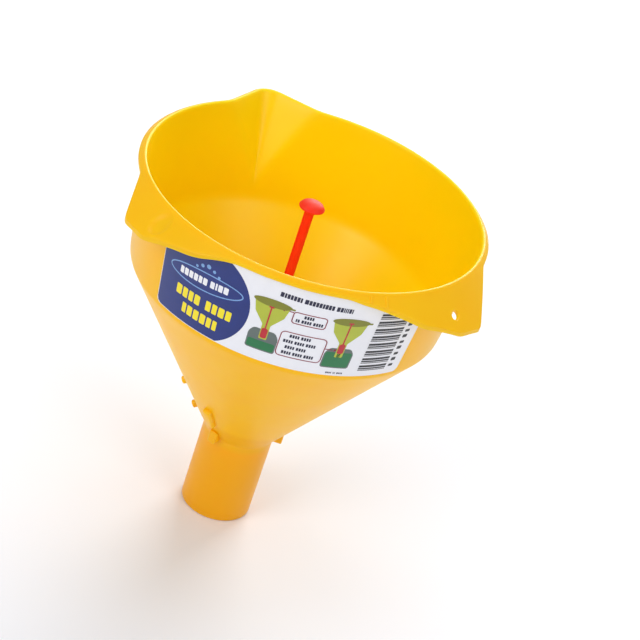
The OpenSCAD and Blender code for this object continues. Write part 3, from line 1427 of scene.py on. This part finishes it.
@dataclass
class Plunger:
    """The red plunger: knob, rod with its key, collar, float, seal and washer."""

    finishes: Finishes
    rod_r: float = 2.0
    key_w: float = 1.0
    key_proud: float = 0.7
    edge: float = 0.35

    def height_of(self, node: str) -> Point:
        """Returns the lowest and highest height of a CAD node, in millimetres."""
        low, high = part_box(node)
        return low.z / MM, high.z / MM

    def radius_of(self, node: str) -> float:
        """Returns the outer radius of a round CAD node, in millimetres."""
        low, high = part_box(node)
        return (high.y - low.y) / 2 / MM

    def knob(self) -> bpy.types.Object:
        """Turns the flattened mushroom knob, with a soft flange under its crown.

        Returns:
            The knob.
        """
        foot, top = self.height_of("push_knob")
        radius = self.radius_of("push_knob")
        brim = foot + 1.9
        shoulder = brim + 0.7
        angles = [math.radians(degrees) for degrees in range(12, 91, 6)]
        crown = [
            ((radius - 0.5) * math.cos(a), shoulder + (top - brim - 0.7) * math.sin(a)) for a in angles
        ]
        under = rounded([(self.rod_r, foot), (self.rod_r + 1.5, foot), (radius - 0.6, brim - 0.4)], 0.8, 4)
        side = arc((radius - 0.55, brim + 0.15), 0.55, -70, 70, 6)
        return turned("knob", [(0, foot), *under[:-1], *side, *crown], closed=False)

    def rod(self) -> bpy.types.Object:
        """Builds the rod with its key, rounded at both ends.

        Returns:
            The rod.
        """
        foot, top = self.height_of("plunger_rod")
        bm = bmesh.new()
        e = self.edge
        outline = [(0, foot), (self.rod_r - e, foot), (self.rod_r, foot + e)]
        outline += run((self.rod_r, foot + e), (self.rod_r, top - e), 12)[1:]
        outline += [(self.rod_r, top - e), (self.rod_r - e, top), (0, top)]
        spin_outline(bm, outline, 48, closed=False)
        rod = finish_mesh(bm, "rod")
        key = bmesh.new()
        key_foot = self.height_of("seal_retainer")[1] + 0.8
        size = Vector((self.rod_r, self.key_w, top - key_foot - 1))
        at = Matrix.Translation((-self.key_proud - size.x / 2, 0, key_foot + size.z / 2))
        add_bar(key, size, at, 0.15)
        combine(rod, finish_mesh(key, "rod_key"), "UNION")
        return rod

    def ring(self, name: str, node: str, inner: float) -> bpy.types.Object:
        """Turns a flat ring with softened edges in the place of a CAD node.

        Args:
            name: Name of the piece.
            node: The CAD node that gives its size.
            inner: Radius of its hole.

        Returns:
            The ring.
        """
        foot, top = self.height_of(node)
        outer, e = self.radius_of(node), self.edge * 0.7
        return turned(name, [
            (inner, foot), (outer - e, foot), (outer - 0.3 * e, foot + 0.3 * e), (outer, foot + e),
            (outer, top - e), (outer - 0.3 * e, top - 0.3 * e), (outer - e, top), (inner + e, top),
            (inner, top - e),
        ])

    def float_shell(self) -> bpy.types.Object:
        """Builds the float's hollow shell, with a soft shoulder and the rod's socket.

        Returns:
            The shell.
        """
        foot, top = self.height_of("float_shell")
        outer = self.radius_of("float_shell")
        inside = outer - 1.2
        outside = rounded([(outer, foot), (outer, top), (self.rod_r, top)], 1.6, 6)
        hollow = [
            (self.rod_r, top - 5), (0, top - 5), (0, top - 6), (3.8, top - 6), (3.8, top - 1.2),
            (inside, top - 1.2), (inside, foot),
        ]
        return turned("float_shell_moulded", outside + hollow)

    def float_cap(self) -> bpy.types.Object:
        """Turns the float's lower cap, with a rounded edge and a moulded step.

        Returns:
            The cap.
        """
        foot, top = self.height_of("float_cap")
        outer = self.radius_of("float_cap")
        seam, inside = foot + 2.0, outer - 1.2
        base = rounded([(0, foot), (outer, foot), (outer, seam), (inside, seam)], 0.9, 5)
        dish = rounded([(0, foot + 0.8), (outer - 3.2, foot + 0.8), (outer - 2.6, foot)], 0.3, 2)
        spigot = [(inside, top), (inside - 1.2, top), (inside - 1.2, seam), (0, seam)]
        return turned("float_cap_moulded", [*dish, *base[1:], *spigot], closed=False)

    def build(self) -> None:
        """Builds and dresses every piece of the plunger."""
        red, black = self.finishes.plunger(), self.finishes.rubber()
        made = [
            (self.knob(), "push_knob", red, "red_polypropylene"),
            (self.rod(), "plunger_rod", red, "red_polypropylene"),
            (self.float_shell(), "float_shell", red, "red_polypropylene"),
            (self.float_cap(), "float_cap", red, "red_polypropylene"),
            (self.ring("seal_disc", "valve_seal", self.rod_r), "valve_seal", black, "nitrile_rubber"),
            (self.ring("washer", "seal_retainer", self.rod_r), "seal_retainer", red, "red_polypropylene"),
        ]
        for piece, node, material, slot in made:
            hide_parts(node)
            dress(piece, material, "plunger")


@dataclass
class KeyedFittings:
    """The guide in the neck and the collar on the rod, which both clear the rod's key."""

    finishes: Finishes
    frame: dict
    bevel: float = 0.25

    def softened(self, node: str, name: str) -> bpy.types.Object:
        """Copies a CAD node and rounds its edges.

        Args:
            node: The CAD node.
            name: Name of the piece.

        Returns:
            The copy.
        """
        bm = bmesh.new()
        bm.from_mesh(self.frame["nodes"][node].data)
        bmesh.ops.scale(bm, vec=(1 / MM,) * 3, verts=bm.verts)
        bmesh.ops.remove_doubles(bm, verts=bm.verts, dist=1e-3)
        bmesh.ops.dissolve_limit(
            bm, angle_limit=math.radians(2), verts=bm.verts, edges=bm.edges,
        )
        edges = [e for e in bm.edges if e.is_manifold and e.calc_face_angle() > math.radians(50)]
        bmesh.ops.bevel(
            bm, geom=edges, offset=self.bevel, segments=2, profile=0.5, affect="EDGES",
            material=-1, clamp_overlap=True,
        )
        return finish_mesh(bm, name)

    def build(self) -> None:
        """Builds and dresses both fittings."""
        guide = self.softened("rod_guide", "guide_spider")
        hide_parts("rod_guide")
        dress(guide, self.finishes.guide(), "funnel")
        collar = self.softened("stop_collar", "collar")
        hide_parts("stop_collar")
        dress(collar, self.finishes.plunger(), "plunger")


# The studio --------------------------------------------------------------------------------


@dataclass
class Studio:
    """A pale floor, soft lights and the camera.

    Args:
        rim_z: Height of the rim, which the camera is placed from, in millimetres.
        distance: Distance from the rim's centre to the camera, in millimetres.
        elevation: Height of the view above level, in degrees.
        roll: The camera's lean, in degrees.
        rise: Angle of the rim's centre above the camera's axis, in degrees.
        pan: Its angle to the side, in degrees.
        lens: Focal length in millimetres.
        floor_drop: Gap between the object and the floor, in millimetres.
        floor_w: The floor's width, in millimetres.
    """

    rim_z: float
    distance: float = 925.0
    elevation: float = 27.77
    roll: float = 18.38
    rise: float = 3.692
    pan: float = -0.075
    lens: float = 112.5
    floor_drop: float = 0.3
    floor_w: float = 12000.0

    def camera(self) -> bpy.types.Object:
        """Places the camera, with the rim's centre rise degrees above its axis.

        Returns:
            The camera.
        """
        turn = math.radians(self.elevation)
        back = Vector((0, -math.cos(turn), math.sin(turn)))
        place = (Vector((0, 0, self.rim_z)) + back * self.distance) * MM
        right, up, ahead = Vector((1, 0, 0)), Vector((0, math.sin(turn), math.cos(turn))), -back
        lean = math.radians(self.roll)
        tipped = Matrix((
            right * math.cos(lean) + up * math.sin(lean),
            up * math.cos(lean) - right * math.sin(lean),
            ahead,
        ))
        sight = Vector((math.tan(math.radians(self.pan)), math.tan(math.radians(self.rise)), 1))
        axes = Vector((0, 0, 1)).rotation_difference(sight).to_matrix() @ tipped
        data = bpy.data.cameras.new("studio_camera")
        data.lens = self.lens
        camera = bpy.data.objects.new("studio_camera", data)
        camera.matrix_world = (
            Matrix.Translation(place)
            @ Matrix((axes[0], axes[1], -axes[2])).transposed().to_4x4()
        )
        bpy.context.scene.collection.objects.link(camera)
        bpy.context.scene.camera = camera
        return camera

    def floor(self) -> None:
        """Makes the pale floor, just under the outlet."""
        bm = bmesh.new()
        bmesh.ops.create_grid(bm, x_segments=1, y_segments=1, size=self.floor_w / 2)
        bmesh.ops.translate(bm, vec=(0, 0, -self.floor_drop), verts=bm.verts)
        floor = finish_mesh(bm, "studio_floor", outwards=False)
        paint = bpy.data.materials.new("studio_floor_paint")
        paint.use_nodes = True
        shader = paint.node_tree.nodes["Principled BSDF"]
        shader.inputs["Base Color"].default_value = linear("#F5F8FF")
        shader.inputs["Roughness"].default_value = 0.7
        floor.data.materials.append(paint)

    def softbox(self, name: str, place: Vector, size: float, watts: float) -> None:
        """Adds a square soft light that faces the bowl.

        Args:
            name: Name of the light.
            place: Where it hangs, in millimetres.
            size: Its side, in millimetres.
            watts: Its power.
        """
        data = bpy.data.lights.new(name, "AREA")
        data.size = size * MM
        data.energy = watts
        light = bpy.data.objects.new(name, data)
        light.location = place * MM
        aim = Vector((0, 0, self.rim_z * 0.6)) * MM - light.location
        light.rotation_mode = "QUATERNION"
        light.rotation_quaternion = aim.to_track_quat("-Z", "Y")
        bpy.context.scene.collection.objects.link(light)

    def build(self) -> None:
        """Sets up the whole studio."""
        scene = bpy.context.scene
        scene.view_settings.view_transform = "Standard"
        world = bpy.data.worlds.new("studio_world")
        world.use_nodes = True
        sky = world.node_tree.nodes["Background"]
        sky.inputs["Color"].default_value = (1.0, 1.0, 1.0, 1.0)
        sky.inputs["Strength"].default_value = 0.4
        scene.world = world
        self.floor()
        self.softbox("key_softbox", Vector((-850, -900, 850)), 650, 6.5)
        self.softbox("fill_softbox", Vector((950, -800, 750)), 800, 4.2)
        self.softbox("top_softbox", Vector((-100, 150, 1300)), 800, 4.0)
        self.softbox("back_softbox", Vector((200, 1150, 700)), 800, 10.0)


def corners(box: tuple[Vector, Vector]) -> list[list[float]]:
    """Returns a box's two corners as plain lists of numbers."""
    return [list(corner) for corner in box]


def main() -> None:
    """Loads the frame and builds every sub-assembly in order."""
    logging.basicConfig(level=logging.INFO, format="%(name)s: %(message)s")
    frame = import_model()
    rim_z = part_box("funnel_body")[1].z / MM
    studio = Studio(rim_z)
    studio.camera()
    studio.build()
    finishes = Finishes()
    moulding = Moulding(rim_z)
    FunnelBody(moulding, finishes).build()
    Label(moulding, finishes).build()
    Plunger(finishes).build()
    KeyedFittings(finishes, frame).build()


if __name__ == "__main__":
    main()
